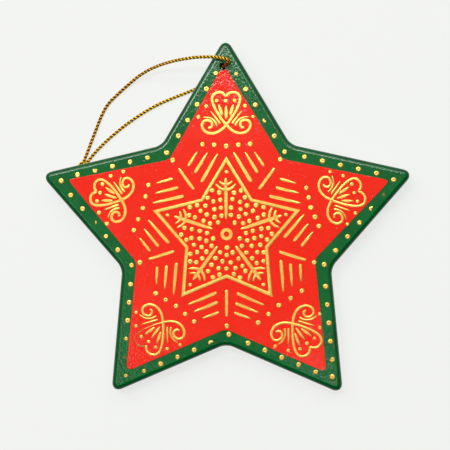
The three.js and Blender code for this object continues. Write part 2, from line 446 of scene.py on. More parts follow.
class Route:
    """A smooth curve through points that can be read by the distance along it."""

    STEPS = 14

    def __init__(self, points: Sequence[Vector]) -> None:
        """Samples the curve.

        Args:
            points: The points that it passes through.
        """
        self.samples = self._smoothed(points)
        self.reach = [0.0]
        for here, there in zip(self.samples, self.samples[1:]):
            self.reach.append(self.reach[-1] + (there - here).length)

    @property
    def length(self) -> float:
        """The curve's length."""
        return self.reach[-1]

    def at(self, distance: float) -> Vector:
        """Reads the curve.

        Args:
            distance: The distance along it.

        Returns:
            The point there.
        """
        k = bisect_left(self.reach, distance, 1, len(self.reach) - 1)
        share = (distance - self.reach[k - 1]) / (self.reach[k] - self.reach[k - 1])
        return self.samples[k - 1].lerp(self.samples[k], share)

    def spread(self, pitch: float) -> list[Vector]:
        """Gives points along the curve at about an even pitch."""
        count = max(1, round(self.length / pitch))
        return [self.at(self.length * i / count) for i in range(count + 1)]

    @classmethod
    def _smoothed(cls, points: Sequence[Vector]) -> list[Vector]:
        """Samples a centripetal Catmull-Rom spline.

        Args:
            points: The points that it passes through.

        Returns:
            Points along it.
        """
        guide = [2 * points[0] - points[1], *points, 2 * points[-1] - points[-2]]
        samples = []
        for p0, p1, p2, p3 in zip(guide, guide[1:], guide[2:], guide[3:]):
            t1 = math.sqrt((p1 - p0).length)
            t2 = t1 + math.sqrt((p2 - p1).length)
            t3 = t2 + math.sqrt((p3 - p2).length)
            for i in range(cls.STEPS):
                t = t1 + (t2 - t1) * i / cls.STEPS
                a1 = p0.lerp(p1, t / t1)
                a2 = p1.lerp(p2, (t - t1) / (t2 - t1))
                a3 = p2.lerp(p3, (t - t2) / (t3 - t2))
                b1 = a1.lerp(a2, t / t2)
                b2 = a2.lerp(a3, (t - t1) / (t3 - t1))
                samples.append(b1.lerp(b2, (t - t1) / (t2 - t1)))
        return [*samples, points[-1]]


def disc(name: str, corners: int, radius: float) -> Object:
    """Models a flat face with even corners on z = 0.

    Args:
        name: The piece's name.
        corners: How many corners it has, the first one towards +Y.
        radius: Their distance from the middle.

    Returns:
        The piece.
    """
    bpy.ops.mesh.primitive_circle_add(vertices=corners, radius=radius, fill_type="NGON", location=ORIGIN)
    piece = bpy.context.object
    piece.name = name
    return piece


def tube(name: str, points: Sequence[Vector], radii: Sequence[float], roundness: int) -> Object:
    """Sweeps a round section along points.

    Args:
        name: The piece's name.
        points: The points of the centreline.
        radii: The section's radius at each point.
        roundness: Blender's bevel resolution of the section.

    Returns:
        The tube as a closed mesh.
    """
    bpy.ops.curve.primitive_nurbs_path_add(location=ORIGIN)
    piece = bpy.context.object
    piece.name = name
    curve = piece.data
    curve.splines.clear()
    line = curve.splines.new("POLY")
    line.points.add(len(points) - 1)
    for knot, place, radius in zip(line.points, points, radii):
        knot.co = (*place, 1.0)
        knot.radius = radius
    curve.bevel_depth = 1.0
    curve.bevel_resolution = roundness
    curve.use_fill_caps = True
    curve.twist_mode = "Z_UP"
    select_only(piece)
    bpy.ops.object.convert(target="MESH")
    return bpy.context.object


@dataclass(frozen=True)
class RestingPlace:
    """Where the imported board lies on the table."""

    board: Matrix
    table: Matrix

    @classmethod
    def of_record(cls, record: dict) -> "RestingPlace":
        """Reads the board's lean and height from the record's mount on its back.

        Args:
            record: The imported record.

        Returns:
            The places of the board's frame and of the table's frame.
        """
        back = next(mount for mount in record["mounts"] if mount["name"] == "back_face")
        lean = math.atan2(back["axis"][1], -back["axis"][2])
        centre_y = STAR_CENTRE_Y * MM
        height = back["pos_m"][2] + (centre_y - back["pos_m"][1]) * math.tan(lean)
        shrink = Matrix.Scale(MM, 4)
        board = Matrix.Translation((0, centre_y, height)) @ Matrix.Rotation(lean, 4, "X") @ shrink
        return cls(board, Matrix.Translation((0, centre_y, 0)) @ shrink)


@dataclass(frozen=True)
class EnamelFinish:
    """Brushed gloss enamel on sanded wood.

    Thick paint levels out but keeps soft lumps and the wood's pores, so the gloss breaks into specks. Its
    colour is darkened with painted shade round a sanded edge and on the wall, and the bore is bare wood
    painted near black with the shade inside the hole.
    """

    name: str
    colour: str
    shade: str
    roughness: float
    relief_mm: float
    roughness_shares: Point = (0.75, 1.3)
    cloud_mm: float = 6.0
    cloud_detail: float = 4.0
    cloud_span: Point = (0.3, 0.62)
    lump_mm: float = 0.7
    lump_span: Point = (0.3, 0.7)
    pore_mm: float = 0.38
    pore_length: float = 1.4
    pore_share: float = 0.55
    fine_detail: float = 2.0
    ior: float = 1.47
    # Painted shade: the darker green laid round the sanded edge and on the wall.
    edge: str = "#002f12"
    # Bare wood in the bore, painted near black with the shade inside the hole.
    bare: str = "#1c0f08"
    bare_roughness: float = 0.7

    def build(self) -> Material:
        """Makes the material.

        Returns:
            The material.
        """
        material, tree, shader = new_material(self.name)
        place = add_place(tree)
        stretch = (1.0, 1 / self.pore_length, 1.0)
        along = add_node(tree, "ShaderNodeMapping", {"Vector": place, "Scale": stretch}).outputs[0]
        cloud = add_noise(tree, place, self.cloud_mm, self.cloud_detail)
        lump = add_noise(tree, place, self.lump_mm, self.fine_detail)
        pore = add_noise(tree, along, self.pore_mm, self.fine_detail)
        # Bare wood in the bore, painted near black with the shade inside the hole.
        bore = add_noted(tree, StarBoard.BORE)
        tint = add_mix(tree, add_range(tree, cloud, self.cloud_span), self.shade, self.colour)
        # Painted shade: the green is darkened round the sanded edge and on the wall.
        deep = add_mix(tree, add_noted(tree, StarBoard.EDGE), tint, self.edge)
        low, high = self.roughness_shares
        rough = add_range(tree, lump, self.lump_span, (self.roughness * low, self.roughness * high))
        height = add_math(tree, "MULTIPLY_ADD", pore, self.pore_share, lump)
        gloss = add_node(tree, "ShaderNodeMix", {0: bore, 2: rough, 3: self.bare_roughness}).outputs[0]
        surface = {
            "Base Color": add_mix(tree, bore, deep, self.bare),
            "Roughness": gloss,
            "Normal": add_bump(tree, height, self.relief_mm),
            "IOR": self.ior,
        }
        feed(tree, shader, surface)
        return material


@dataclass(frozen=True)
class GoldPaintFinish:
    """Metallic gold paint, squeezed on in beads and dots.

    The flakes in it give a satin metal, yellow where it catches the light and orange where it doesn't.
    """

    FILM_AND_SHADE = "film_and_shade"

    name: str = "metallic_gold_paint"
    colour: str = "#f9ce61"
    shade: str = "#ecb74e"
    # Thin worn paint, and also the painted shade in each drop's dimple.
    film_and_shade: str = "#7c662c"
    metallic: float = 0.55
    roughness: float = 0.26
    cloud_mm: float = 1.1
    cloud_detail: float = 3.0
    cloud_span: Point = (0.32, 0.6)
    flake_mm: float = 0.25
    flake_detail: float = 1.0
    relief_mm: float = 0.02

    def build(self) -> Material:
        """Makes the material.

        Returns:
            The material.
        """
        material, tree, shader = new_material(self.name)
        place = add_place(tree)
        cloud = add_noise(tree, place, self.cloud_mm, self.cloud_detail)
        flake = add_noise(tree, place, self.flake_mm, self.flake_detail)
        tint = add_mix(tree, add_range(tree, cloud, self.cloud_span), self.shade, self.colour)
        # Thin worn paint, and the painted shade of each drop's dimple, darken the gold.
        surface = {
            "Base Color": add_mix(tree, add_noted(tree, self.FILM_AND_SHADE), tint, self.film_and_shade),
            "Normal": add_bump(tree, flake, self.relief_mm),
            "Metallic": self.metallic,
            "Roughness": self.roughness,
        }
        feed(tree, shader, surface)
        return material


@dataclass(frozen=True)
class GoldCordFinish:
    """Two-ply cord of gold foil thread, one ply a little browner than the other.

    The crowns of the plies glitter and the grooves between them are painted nearly black as their shade.
    """

    name: str = "gold_foil_cord"
    bright: str = "#ffd61a"
    brown: str = "#b84e06"
    # Painted shade in the grooves between the plies.
    groove_shade: str = "#220a01"
    crown_span: Point = (0.66, 0.88)
    metallic: float = 0.5
    roughness: float = 0.36
    thread_mm: float = 0.16
    thread_detail: float = 2.0
    relief_mm: float = 0.03

    def build(self) -> Material:
        """Makes the material.

        Returns:
            The material.
        """
        material, tree, shader = new_material(self.name)
        thread = add_noise(tree, add_place(tree), self.thread_mm, self.thread_detail)
        # Painted shade: the grooves between the plies are coloured nearly black.
        crown = add_range(tree, add_noted(tree, TwistedCord.CROWN), self.crown_span)
        # The plies' own tones, with painted shade where the cord comes out of the hole.
        tint = add_mix(tree, add_noted(tree, TwistedCord.PLY), self.bright, self.brown)
        surface = {
            "Base Color": add_mix(tree, crown, self.groove_shade, tint),
            "Normal": add_bump(tree, thread, self.relief_mm),
            "Metallic": self.metallic,
            "Roughness": self.roughness,
        }
        feed(tree, shader, surface)
        return material


@dataclass(frozen=True)
class TableFinish:
    """A matt white table top that is partly lit from below, so that shadows on it stay faint."""

    name: str = "matt_white_table"
    colour: str = "#d8dad6"
    glow_colour: str = "#fbfcf9"
    glow_share: float = 0.77
    roughness: float = 0.9

    def build(self) -> Material:
        """Makes the material.

        Returns:
            The material.
        """
        material, tree, shader = new_material(self.name)
        matt = {"Base Color": self.colour, "Roughness": self.roughness, "Specular IOR Level": 0.0}
        feed(tree, shader, matt)
        ray = add_node(tree, "ShaderNodeLightPath").outputs
        mirrored = add_math(tree, "MAXIMUM", ray["Is Camera Ray"], ray["Is Glossy Ray"])
        seen = add_math(tree, "MAXIMUM", mirrored, ray["Is Transmission Ray"])
        share = add_math(tree, "MULTIPLY", seen, self.glow_share)
        glow = add_node(tree, "ShaderNodeEmission", {"Color": self.glow_colour, "Strength": 1.0}).outputs[0]
        both = add_node(tree, "ShaderNodeMixShader", {0: share, 1: shader.outputs[0], 2: glow}).outputs[0]
        feed(tree, tree.nodes["Material Output"], {"Surface": both})
        return material


@dataclass(frozen=True)
class StarOutline:
    """A star given by its sharp corners and by how far they are cut back to round them, if they are."""

    tip_radius: float
    notch_radius: float
    tip_cut: float = 0.0
    notch_cut: float = 0.0
    corner_steps: int = 0

    def flat(self, name: str) -> Object:
        """Models the star as one flat face on z = 0.

        Args:
            name: The piece's name.

        Returns:
            The piece.
        """
        piece = disc(name, 2 * ARMS, self.tip_radius)
        share = self.notch_radius / self.tip_radius
        with edit_mode(piece, MeshPart.VERTEX):
            choose_vertices(piece, is_near_notch)
            bpy.ops.transform.resize(value=(share, share, 1), center_override=ORIGIN)
            if self.corner_steps:
                round_corners(piece, is_near_tip, self.tip_cut, self.corner_steps)
                round_corners(piece, is_near_notch, self.notch_cut, self.corner_steps)
        return piece


@dataclass(frozen=True)
class CordHole:
    """The drilled hole for the cord, with worn mouths."""

    x: float = -0.65
    y: float = 45.85
    radius: float = 0.85
    lip: float = 0.3
    lip_steps: int = 4
    sides: int = 32
    margin: float = 1.0

    def cutter(self, radius: float, depth: float) -> Object:
        """Models a round cutter on the hole's axis.

        Args:
            radius: Its radius.
            depth: The depth that it goes through, from z = 0.

        Returns:
            The cutter, which reaches past both ends of the depth.
        """
        bpy.ops.mesh.primitive_cylinder_add(
            vertices=self.sides,
            radius=radius,
            depth=depth + 2 * self.margin,
            location=(self.x, self.y, depth / 2),
        )
        return bpy.context.object

    @property
    def bare_reach(self) -> float:
        """How far from the axis the bore is bare wood painted near black with the shade inside the hole."""
        return self.radius + self.lip / 2

    def distance(self, place: Vector) -> float:
        """Gives a place's distance from the hole's axis."""
        return math.hypot(place.x - self.x, place.y - self.y)

    def is_on_wall(self, place: Vector) -> bool:
        """Tells whether a place lies on the drilled wall."""
        return abs(self.distance(place) - self.radius) < SAME_PLACE


@dataclass
class StarBoard:
    """The sawn board, sanded round at its edges, drilled and enamelled green all over."""

    # Notes where the bore is bare wood painted near black with its shade.
    BORE = "bore"
    # Notes the painted shade round the sanded edge and on the wall.
    EDGE = "edge"

    hole: CordHole
    outline: StarOutline = StarOutline(54.2, 30.2, tip_cut=3.3, notch_cut=1.9, corner_steps=10)
    thickness: float = FACE_LEVEL
    edge_round: float = 1.4
    edge_steps: int = 7
    # Painted shade on the wall, as a share of the edge's darkest green.
    wall_shade: float = 0.35

    def build(self) -> Object:
        """Models the board.

        Returns:
            The board.
        """
        board = self.outline.flat("enamelled_star_board")
        raise_solid(board, self.thickness)
        round_edges(board, is_level, self.edge_round, self.edge_steps)
        cut_with(board, self.hole.cutter(self.hole.radius, self.thickness))
        round_edges(board, self._is_rim, self.hole.lip, self.hole.lip_steps)
        places = [vertex.co.copy() for vertex in board.data.vertices]
        # The bore is bare wood, painted near black with the shade inside the hole.
        bare = [float(self.hole.distance(place) < self.hole.bare_reach) for place in places]
        set_values(board, self.BORE, bare)
        set_values(board, self.EDGE, [self._edge_shade(place) for place in places])
        return board

    def _edge_shade(self, place: Vector) -> float:
        """Gives how far painted shade darkens the green, which is most where the sanded edge turns into the
        wall.

        Args:
            place: A place on the board.

        Returns:
            From 0 on the two flats to 1.
        """
        depth = min(place.z, self.thickness - place.z)
        if depth > self.edge_round - SAME_PLACE:
            return self.wall_shade
        return math.sqrt(max(0.0, depth) / self.edge_round)

    def _is_rim(self, first: Vector, second: Vector) -> bool:
        """Tells whether an edge is part of one of the hole's two rims."""
        return is_level(first, second) and self.hole.is_on_wall(first) and self.hole.is_on_wall(second)


@dataclass
class RedCoat:
    """The red enamel on the face, brushed up to a green border that is left free."""

    hole: CordHole
    tips: tuple[Point, ...] = ((-0.4, 46.4), (-43.6, 15.1), (-27.5, -37.7), (27.4, -37.8), (44.8, 14.4))
    notches: tuple[Point, ...] = ((-15.5, 20.4), (-24.6, -7.7), (-0.1, -26.0), (24.3, -6.9), (15.5, 20.4))
    tip_cuts: tuple[float, ...] = (0.8, 1.1, 2.1, 2.1, 1.6)
    notch_cut: float = 1.2
    corner_steps: int = 6
    thickness: float = RED_THICKNESS
    edge_round: float = 0.08
    edge_steps: int = 2
    long_edge: float = 4.8
    long_edge_cuts: int = 9
    wander: float = 0.05
    seed: int = 3

    def build(self) -> Object:
        """Models the coat, lying on the board's face.

        Returns:
            The coat.
        """
        corners = [Vector((*corner, 0)) for pair in zip(self.tips, self.notches) for corner in pair]
        coat = disc("red_enamel_coat", len(corners), 1.0)
        starts = [vertex.co.copy() for vertex in coat.data.vertices]
        with edit_mode(coat, MeshPart.VERTEX):
            for start, corner in zip(starts, corners):
                choose_vertices(coat, lambda place: (place - start).length < SAME_PLACE)
                bpy.ops.transform.translate(value=corner - start)
            for tip, cut in zip(corners[::2], self.tip_cuts):
                round_corners(coat, lambda place: (place - tip).length < SAME_PLACE, cut, self.corner_steps)
            round_corners(coat, is_near_notch, self.notch_cut, self.corner_steps)
        self._brush_edge(coat)
        raise_solid(coat, self.thickness)
        round_edges(coat, self._is_upper, self.edge_round, self.edge_steps)
        cut_with(coat, self.hole.cutter(self.hole.radius + self.hole.lip, self.thickness))
        set_down(coat, Matrix.Translation((0, 0, FACE_LEVEL - SUNK)))
        return coat

    def _brush_edge(self, coat: Object) -> None:
        """Lets the long edges wander a little, as a brushed edge does.

        Args:
            coat: The coat while it is flat.
        """
        with edit_mode(coat, MeshPart.EDGE):
            choose_edges(coat, lambda first, second: (first - second).length > self.long_edge)
            bpy.ops.mesh.subdivide(number_cuts=self.long_edge_cuts)
        with edit_mode(coat, MeshPart.VERTEX):
            bpy.ops.mesh.select_all(action="SELECT")
            bpy.ops.transform.vertex_random(offset=self.wander, seed=self.seed)
            bpy.ops.transform.resize(value=(1, 1, 0), center_override=ORIGIN)

    def _is_upper(self, first: Vector, second: Vector) -> bool:
        """Tells whether an edge goes round the coat's top."""
        return is_level(first, second) and first.z > self.thickness / 2


@dataclass(frozen=True)
class PaintLine:
    """A line of squeezed paint through points of the face, with its widths spread evenly along it."""

    points: tuple[Point, ...]
    widths: tuple[float, ...]

    STEP = 0.55
    FEWEST_STEPS = 3
    CAP_STEPS = 4
    RISE = 0.75
    TOP = 0.15
    ROUNDNESS = 4
    THINNEST = 0.12

    def mirrored(self) -> "PaintLine":
        """Gives the same line on the other side of the arm."""
        return PaintLine(tuple((-x, y) for x, y in self.points), self.widths)

    def weighted(self, weight: float) -> "PaintLine":
        """Gives the same line with its widths times a weight."""
        return PaintLine(self.points, tuple(width * weight for width in self.widths))

    def half_width(self, distance: float, length: float) -> float:
        """Gives half the line's width at a distance along it.

        Args:
            distance: The distance from its start.
            length: The line's whole length.

        Returns:
            Half the width, drawn in where the line's ends are round.
        """
        place = distance / length * (len(self.widths) - 1)
        k = min(int(place), len(self.widths) - 2)
        half = (self.widths[k] + (self.widths[k + 1] - self.widths[k]) * (place - k)) / 2
        inset = min(1.0, min(distance, length - distance) / half)
        return half * max(self.THINNEST, math.sqrt(1 - (1 - inset) ** 2))

    def bead(self, name: str) -> Object:
        """Models the line as a bead with round ends and its flat side on z = 0.

        Args:
            name: The piece's name.

        Returns:
            The bead.
        """
        route = Route([Vector((x, y, 0)) for x, y in self.points])
        shares = [1 - math.cos(math.pi / 2 * i / self.CAP_STEPS) for i in range(self.CAP_STEPS)]
        start = [share * self.widths[0] / 2 for share in shares]
        end = [route.length - share * self.widths[-1] / 2 for share in reversed(shares)]
        room = end[0] - start[-1]
        count = max(self.FEWEST_STEPS, round(room / self.STEP))
        middle = [start[-1] + room * i / count for i in range(1, count)]
        distances = [*start, *middle, *end]
        radii = [self.half_width(distance, route.length) for distance in distances]
        piece = tube(name, [route.at(distance) for distance in distances], radii, self.ROUNDNESS)
        with edit_mode(piece, MeshPart.VERTEX):
            self.let_settle(piece, fill=True)
        return piece

    @classmethod
    def let_settle(cls, piece: Object, fill: bool) -> None:
        """Cuts a round bead in edit mode to its upper half and levels its top, as thick paint settles.

        Args:
            piece: The bead, with its middle on z = 0.
            fill: Whether the cut is closed with a face.
        """
        bpy.ops.mesh.select_all(action="SELECT")
        bpy.ops.mesh.bisect(plane_co=ORIGIN, plane_no=(0, 0, 1), use_fill=fill, clear_inner=True)
        bpy.ops.mesh.select_all(action="SELECT")
        bpy.ops.transform.resize(value=(1, 1, cls.RISE), center_override=ORIGIN)
        choose_vertices(piece, lambda place: place.z > cls.TOP)
        bpy.ops.transform.resize(value=(1, 1, 0), center_override=(0, 0, cls.TOP))


@dataclass
class HandDrift:
    """The small drifts of a hand that repeats a motif."""

    seed: int
    turn_deg: float = 0.5
    shift: float = 0.07
    swell: float = 0.03
    draw: random.Random = field(init=False)

    def __post_init__(self) -> None:
        """Starts the seeded draws."""
        self.draw = random.Random(self.seed)

    def about(self, centre: Point) -> Matrix:
        """Draws a drift of a motif.

        Args:
            centre: The motif's middle, which it turns and swells about.

        Returns:
            The drift as a matrix in the face's plane.
        """
        shift = Matrix.Translation((self.draw.gauss(0, self.shift), self.draw.gauss(0, self.shift), 0))
        turn = Matrix.Rotation(math.radians(self.draw.gauss(0, self.turn_deg)), 4, "Z")
        swell = Matrix.Scale(1 + self.draw.gauss(0, self.swell), 4)
        middle = Matrix.Translation((*centre, 0))
        return shift @ middle @ turn @ swell @ middle.inverted()


class Wear(Enum):
    """How a drop is worn: the width left by a chip, its height and radius, all as shares, and its film."""

    WHOLE = (1.0, 1.0, 1.0, 0.0)
    RUBBED = (1.0, 0.6, 0.8, 0.3)
    NICKED = (0.8, 1.0, 1.0, 0.0)
    CHIPPED = (0.55, 1.0, 1.0, 0.0)
    SLIVER = (0.28, 1.0, 1.0, 0.0)
    FAINT = (1.0, 0.15, 0.75, 1.0)


@dataclass(frozen=True)
class Drop:
    """One drop of paint on the face, and the direction that a chip is missing from."""

    place: Point
    radius: float
    wear: Wear = Wear.WHOLE
    chip_deg: float = 0.0


@dataclass
class DotPainter:
    """Drops of paint off a nozzle: low domes, each with a dimple where the nozzle left it, darkened with
    painted shade.
    """

    drift: HandDrift
    sides: int = 12
    height_share: float = 0.2
    rings: tuple[tuple[float, float], ...] = ((0.94, 0.65), (0.8, 0.97), (0.34, 1.0), (0.22, 0.8))
    uneven: float = 0.05
    dimple_shade: float = 0.55

    def model(self) -> Object:
        """Models one drop of radius 1 and height 1.

        Returns:
            The drop, with the painted shade of its dimple as an attribute.
        """
        drop = disc("drop_model", self.sides, 1.0)
        with edit_mode(drop, MeshPart.FACE):
            bpy.ops.mesh.select_all(action="SELECT")
            radius, height = 1.0, 0.0
            for next_radius, next_height in self.rings:
                rise = (0, 0, next_height - height)
                bpy.ops.mesh.extrude_region_move(TRANSFORM_OT_translate={"value": rise})
                share = next_radius / radius
                bpy.ops.transform.resize(value=(share, share, 1), center_override=(0, 0, next_height))
                radius, height = next_radius, next_height
        face_outwards(drop)
        # Painted shade: the middle of the dimple is darkened.
        dimple = self.rings[-1][0] + SAME_PLACE
        in_dimple = [vertex.co.xy.length < dimple for vertex in drop.data.vertices]
        set_values(drop, GoldPaintFinish.FILM_AND_SHADE, [self.dimple_shade * dimpled for dimpled in in_dimple])
        return drop

    def scatter(self, name: str, drops: Sequence[Drop], level: float) -> Object:
        """Sets copies of the drop on the face.

        Args:
            name: The name of the joined piece.
            drops: The drops.
            level: The height of the paint that they sit on.

        Returns:
            All the drops as one piece.
        """
        model = self.model()
        twins = []
        for drop in drops:
            _, height, width, _ = drop.wear.value
            wide, deep = [drop.radius * width * (1 + self.drift.draw.gauss(0, self.uneven)) for _ in range(2)]
            size = Matrix.Diagonal((wide, deep, drop.radius * self.height_share * height, 1))
            twin = copied(model, name, Matrix.Translation((*drop.place, level - SUNK)) @ size)
            self._wear_down(twin, drop)
            twins.append(twin)
        scrap(model)
        return joined(twins, name)

    def _wear_down(self, piece: Object, drop: Drop) -> None:
        """Rubs a drop down to a film, or breaks a chip out of it.

        Args:
            piece: The drop's mesh.
            drop: The drop.
        """
        kept, _, _, film_and_shade = drop.wear.value
        if film_and_shade:
            set_values(piece, GoldPaintFinish.FILM_AND_SHADE, [film_and_shade] * len(piece.data.vertices))
        if kept < 1.0:
            turn = math.radians(drop.chip_deg)
            missing = Vector((math.cos(turn), math.sin(turn), 0))
            edge = Vector((*drop.place, 0)) + missing * drop.radius * (2 * kept - 1)
            with edit_mode(piece, MeshPart.VERTEX):
                bpy.ops.mesh.select_all(action="SELECT")
                bpy.ops.mesh.bisect(plane_co=edge, plane_no=missing, use_fill=True, clear_outer=True)


@dataclass(frozen=True)
class GoldPiece:
    """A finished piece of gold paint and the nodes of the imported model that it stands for."""

    piece: Object
    nodes: tuple[str, ...] = ()


def turned(point: Point, turn: float) -> Point:
    """Turns a point of the face about the star's centre.

    Args:
        point: The point, with its arm up.
        turn: The turn in radians.

    Returns:
        The turned point.
    """
    x, y = point
    return x * math.cos(turn) - y * math.sin(turn), x * math.sin(turn) + y * math.cos(turn)


def moved(point: Point, shift: Point) -> Point:
    """Moves a point of the face by a shift."""
    return point[0] + shift[0], point[1] + shift[1]


def both_sides(points: Sequence[Point]) -> list[Point]:
    """Gives points and their mirror images across the arm."""
    return [(sign * x, y) for x, y in points for sign in ((1, -1) if x else (1,))]


def in_every_arm(
    model: Object, node: str, drift: HandDrift, centre: Point, turn: Callable[[int], float] = arm_turn
) -> list[GoldPiece]:
    """Copies a motif into every arm, as a drifting hand repeats it.

    Args:
        model: The motif with its arm up, which is used up.
        node: The name of the nodes that the copies stand for, with a gap for the arm's number.
        drift: The hand's drift.
        centre: The middle that the drift turns and swells about.
        turn: Gives the turn of an arm's copy.

    Returns:
        The copies.
    """
    pieces = []
    for arm in range(1, ARMS + 1):
        place = ON_RED @ Matrix.Rotation(turn(arm), 4, "Z") @ drift.about(centre)
        name = node.format(arm)
        pieces.append(GoldPiece(copied(model, f"gold_{name}", place), (name,)))
    scrap(model)
    return pieces


@dataclass
class Snowflake:
    """The snowflake at the centre: a ring, five stems with branches, and drops of paint between them."""

    drift: HandDrift
    dots: DotPainter
    ring_radius: float = 1.21
    ring_half_width: float = 0.49
    ring_steps: int = 32
    ring_sides: int = 12
    stem: PaintLine = PaintLine(((0, 4.1), (0, 15.6)), (0.6, 0.82, 0.94, 0.98, 1.0, 0.98, 0.9, 0.62))
    branches: tuple[PaintLine, ...] = (
        PaintLine(((0, 12.1), (1.5, 12.65), (2.85, 13.85)), (0.74, 0.74, 0.72, 0.66, 0.5)),
        PaintLine(((0, 13.6), (1.05, 13.98), (1.85, 14.65)), (0.74, 0.74, 0.72, 0.66, 0.5)),
    )
    stem_dot: Point = (0, 17.06)
    stem_dot_radius: float = 0.52
    fill_dots: tuple[Point, ...] = (
        (0, 3.78), (0, 5.87), (0, 9.51), (1.88, 4.97), (3.1, 6.66), (1.15, 7.54), (4.21, 8.64),
        (2.17, 9.35), (5.13, 10.29), (1.89, 11.07), (3.83, 11.82),
    )
    fill_dot_radius: float = 0.7
    fill_drift: float = 0.1

    def build(self) -> list[GoldPiece]:
        """Models the snowflake.

        Returns:
            Its pieces.
        """
        return [self._ring(), *self._arms(), self._drops()]

    def _ring(self) -> GoldPiece:
        """Models the ring as a flattened bead.

        Returns:
            The ring.
        """
        bpy.ops.mesh.primitive_torus_add(
            major_radius=self.ring_radius,
            minor_radius=self.ring_half_width,
            major_segments=self.ring_steps,
            minor_segments=self.ring_sides,
            location=ORIGIN,
        )
        ring = bpy.context.object
        ring.name = "gold_centre_ring"
        with edit_mode(ring, MeshPart.VERTEX):
            PaintLine.let_settle(ring, fill=False)
            bpy.ops.mesh.select_all(action="DESELECT")
            bpy.ops.mesh.select_non_manifold()
            bpy.ops.mesh.bridge_edge_loops()
        face_outwards(ring)
        set_down(ring, ON_RED)
        return GoldPiece(ring, ("centre_ring",))

    def _arms(self) -> list[GoldPiece]:
        """Models one stem with its branches and copies it into every arm.

        Returns:
            The stems.
        """
        lines = [self.stem, *self.branches, *(branch.mirrored() for branch in self.branches)]
        model = joined([line.bead("flake_line") for line in lines], "flake_model")
        return in_every_arm(model, "snowflake_arm_{}", self.drift, self.stem.points[0])

    def _drops(self) -> GoldPiece:
        """Models the drops between the stems and at their heads.

        Returns:
            All of them as one piece.
        """
        drops = []
        for arm in range(1, ARMS + 1):
            drops.append(Drop(turned(self.stem_dot, arm_turn(arm)), self.stem_dot_radius))
            for point in both_sides(self.fill_dots):
                stray = (self.drift.draw.gauss(0, self.fill_drift), self.drift.draw.gauss(0, self.fill_drift))
                drops.append(Drop(moved(turned(point, notch_turn(arm)), stray), self.fill_dot_radius))
        return GoldPiece(self.dots.scatter("gold_snowflake_dots", drops, GOLD_LEVEL))


